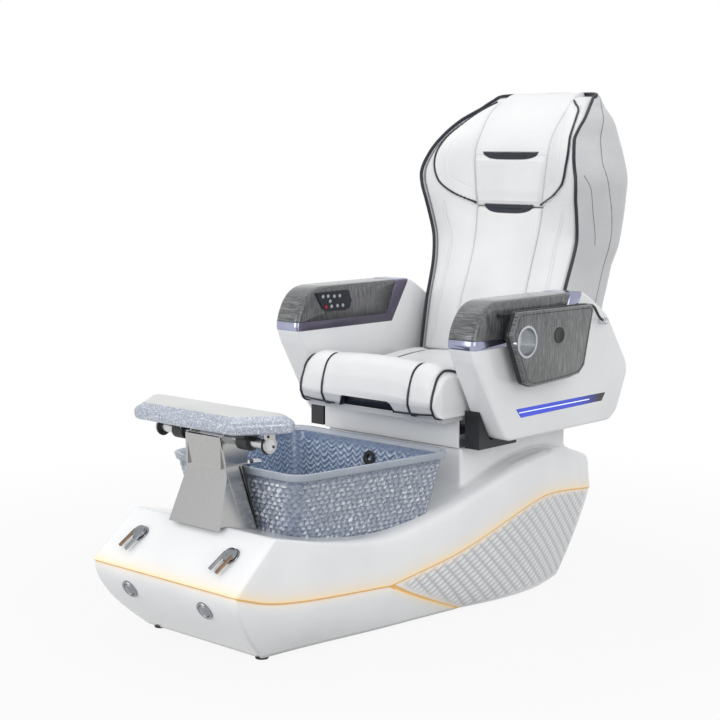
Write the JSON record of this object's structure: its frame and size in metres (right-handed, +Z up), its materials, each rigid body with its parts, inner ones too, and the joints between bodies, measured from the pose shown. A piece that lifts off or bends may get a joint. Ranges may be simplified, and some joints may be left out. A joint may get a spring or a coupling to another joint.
{
  "type": "pedicure spa chair",
  "caption": "Reclining massage seat on slide rails over a boat-shaped base with a foot bowl, a tilting footrest and fold-up side trays",
  "frame": {"origin": "on the floor, at the middle of the chair's width and length", "axes": "X across the chair to the sitter's left as seen from the front, Y from the foot bowl back to the backrest, Z up"},
  "size_m": [0.904, 1.7173, 1.466],
  "materials": {
    "gelcoat": "glossy white moulded shell",
    "wave_panel": "glossy white panel with a pressed wave texture",
    "frame_steel": "black powder coat",
    "foot_rubber": "moulded black",
    "light": "warm lit diffuser",
    "crystal": "blue-grey cast crystal resin, hammered outside",
    "chrome": "polished plating",
    "jet_black": "glossy black",
    "motor": "dark enamel",
    "hose": "plain hose",
    "brass_valve": "cast brass",
    "stainless": "polished sheet",
    "bar_steel": "ground bar",
    "clamp_black": "black",
    "pad_glitter": "blue-grey glitter resin",
    "rail_steel": "plain steel",
    "plywood": "birch plywood",
    "white_leather": "soft white upholstery",
    "navy": "dark navy",
    "support_black": "textured black",
    "wood_grain": "grey wood-grain print, gloss coat",
    "lavender_chrome": "lavender plating",
    "blue_light": "blue lit bar",
    "silver_key": "silver keys",
    "red_key": "red key",
    "cup_steel": "spun steel cup",
    "shell_grey": "light grey moulded back",
    "carriage_plastic": "plain",
    "roller_urethane": "massage rollers"
  },
  "bodies": {
    "base": {"base_frame": "frame_steel", "leveling_feet": "foot_rubber", "lower_hull": "gelcoat", "upper_shell": "gelcoat", "side_panels": "wave_panel", "rear_panel": "wave_panel", "light_strip": "light", "bowl": "crystal", "jet_nozzles": "jet_black", "drain_fitting": "chrome", "jet_motor": "motor", "water_hoses": "hose", "mixing_valve": "brass_valve", "front_escutcheons": "chrome", "water_spout": "chrome", "footrest_bracket": "stainless", "seat_rails": "rail_steel"},
    "stopper": {"drain_stopper": "chrome"},
    "lever_left": {"valve_lever_left": "chrome"},
    "lever_right": {"valve_lever_right": "chrome"},
    "air_left": {"air_button_left": "chrome"},
    "air_right": {"air_button_right": "chrome"},
    "footrest": {"footrest_shaft": "bar_steel", "footrest_clamps": "clamp_black", "footrest_end_plates": "stainless", "footrest_pad": "pad_glitter"},
    "seat": {"seat_carriage": "frame_steel", "drive_motors": "motor", "seat_pan": "plywood", "seat_cushion": "white_leather", "seat_handle": "navy", "seat_apron": "gelcoat", "side_supports": "support_black", "armrest_left": "gelcoat", "armrest_right": "gelcoat", "armrest_tops": "wood_grain", "armrest_trims": "lavender_chrome", "arm_light_bars": "blue_light", "remote_panel": "navy", "tray_hinge_rods": "clamp_black"},
    "tray_l": {"tray_left": "wood_grain", "cup_holder_left": "cup_steel"},
    "tray_r": {"tray_right": "wood_grain", "cup_holder_right": "cup_steel"},
    "back": {"back_frame": "frame_steel", "back_shell": "shell_grey", "back_cushion": "white_leather", "side_bolsters": "white_leather", "head_cushion": "white_leather"},
    "roller_slide": {"roller_carriage": "carriage_plastic"},
    "rollers": {"massage_rollers": "roller_urethane"},
    "key_1": {"remote_button_1": "silver_key"},
    "key_2": {"remote_button_2": "silver_key"},
    "key_3": {"remote_button_3": "silver_key"},
    "key_4": {"remote_button_4": "silver_key"},
    "key_5": {"remote_button_5": "silver_key"},
    "key_6": {"remote_button_6": "red_key"},
    "key_7": {"remote_button_7": "silver_key"},
    "key_8": {"remote_button_8": "silver_key"},
    "key_9": {"remote_button_9": "silver_key"}
  },
  "joints": [
    {"name": "seat_slide", "type": "slide", "parent": "base", "child": "seat", "axis": [0, 1, 0], "range_m": [-0.06, 0.06]},
    {"name": "back_recline", "type": "hinge", "parent": "seat", "child": "back", "pos_m": [0, 0.472, 0.56], "axis": [-1, 0, 0], "range_deg": [0, 30]},
    {"name": "roller_travel", "type": "slide", "parent": "back", "child": "roller_slide", "axis": [0, 0.2045, 0.9789], "range_m": [-0.1, 0.3]},
    {"name": "roller_spin", "type": "hinge", "parent": "roller_slide", "child": "rollers", "pos_m": [0, 0.60929, 0.86515], "axis": [1, 0, 0], "continuous": true},
    {"name": "footrest_tilt", "type": "hinge", "parent": "base", "child": "footrest", "pos_m": [0, -0.668, 0.553], "axis": [-1, 0, 0], "range_deg": [-10, 35]},
    {"name": "tray_turn_right", "type": "hinge", "parent": "seat", "child": "tray_r", "pos_m": [0.404, 0.227, 0.842], "axis": [0, -1, 0], "range_deg": [0, 90]},
    {"name": "tray_turn_left", "type": "hinge", "parent": "seat", "child": "tray_l", "pos_m": [-0.404, 0.227, 0.842], "axis": [0, 1, 0], "range_deg": [0, 90]},
    {"name": "valve_turn_left", "type": "hinge", "parent": "base", "child": "lever_left", "pos_m": [-0.178, -0.775, 0.2792], "axis": [0, -0.6459, 0.7634], "range_deg": [0, 90]},
    {"name": "valve_turn_right", "type": "hinge", "parent": "base", "child": "lever_right", "pos_m": [0.178, -0.775, 0.2792], "axis": [0, -0.6459, 0.7634], "range_deg": [0, 90]},
    {"name": "air_press_left", "type": "slide", "parent": "base", "child": "air_left", "axis": [0, 0.8492, 0.528], "range_m": [0, 0.004], "stiffness_N_per_m": 900},
    {"name": "air_press_right", "type": "slide", "parent": "base", "child": "air_right", "axis": [0, 0.8492, 0.528], "range_m": [0, 0.004], "stiffness_N_per_m": 900},
    {"name": "stopper_lift", "type": "slide", "parent": "base", "child": "stopper", "axis": [0, 0, 1], "range_m": [0, 0.01]},
    {"name": "key_press_1", "type": "slide", "parent": "seat", "child": "key_1", "axis": [-1, 0, 0], "range_m": [0, 0.0012], "stiffness_N_per_m": 400},
    {"name": "key_press_2", "type": "slide", "parent": "seat", "child": "key_2", "axis": [-1, 0, 0], "range_m": [0, 0.0012], "stiffness_N_per_m": 400},
    {"name": "key_press_3", "type": "slide", "parent": "seat", "child": "key_3", "axis": [-1, 0, 0], "range_m": [0, 0.0012], "stiffness_N_per_m": 400},
    {"name": "key_press_4", "type": "slide", "parent": "seat", "child": "key_4", "axis": [-1, 0, 0], "range_m": [0, 0.0012], "stiffness_N_per_m": 400},
    {"name": "key_press_5", "type": "slide", "parent": "seat", "child": "key_5", "axis": [-1, 0, 0], "range_m": [0, 0.0012], "stiffness_N_per_m": 400},
    {"name": "key_press_6", "type": "slide", "parent": "seat", "child": "key_6", "axis": [-1, 0, 0], "range_m": [0, 0.0012], "stiffness_N_per_m": 400},
    {"name": "key_press_7", "type": "slide", "parent": "seat", "child": "key_7", "axis": [-1, 0, 0], "range_m": [0, 0.0012], "stiffness_N_per_m": 400},
    {"name": "key_press_8", "type": "slide", "parent": "seat", "child": "key_8", "axis": [-1, 0, 0], "range_m": [0, 0.0012], "stiffness_N_per_m": 400},
    {"name": "key_press_9", "type": "slide", "parent": "seat", "child": "key_9", "axis": [-1, 0, 0], "range_m": [0, 0.0012], "stiffness_N_per_m": 400}
  ]
}
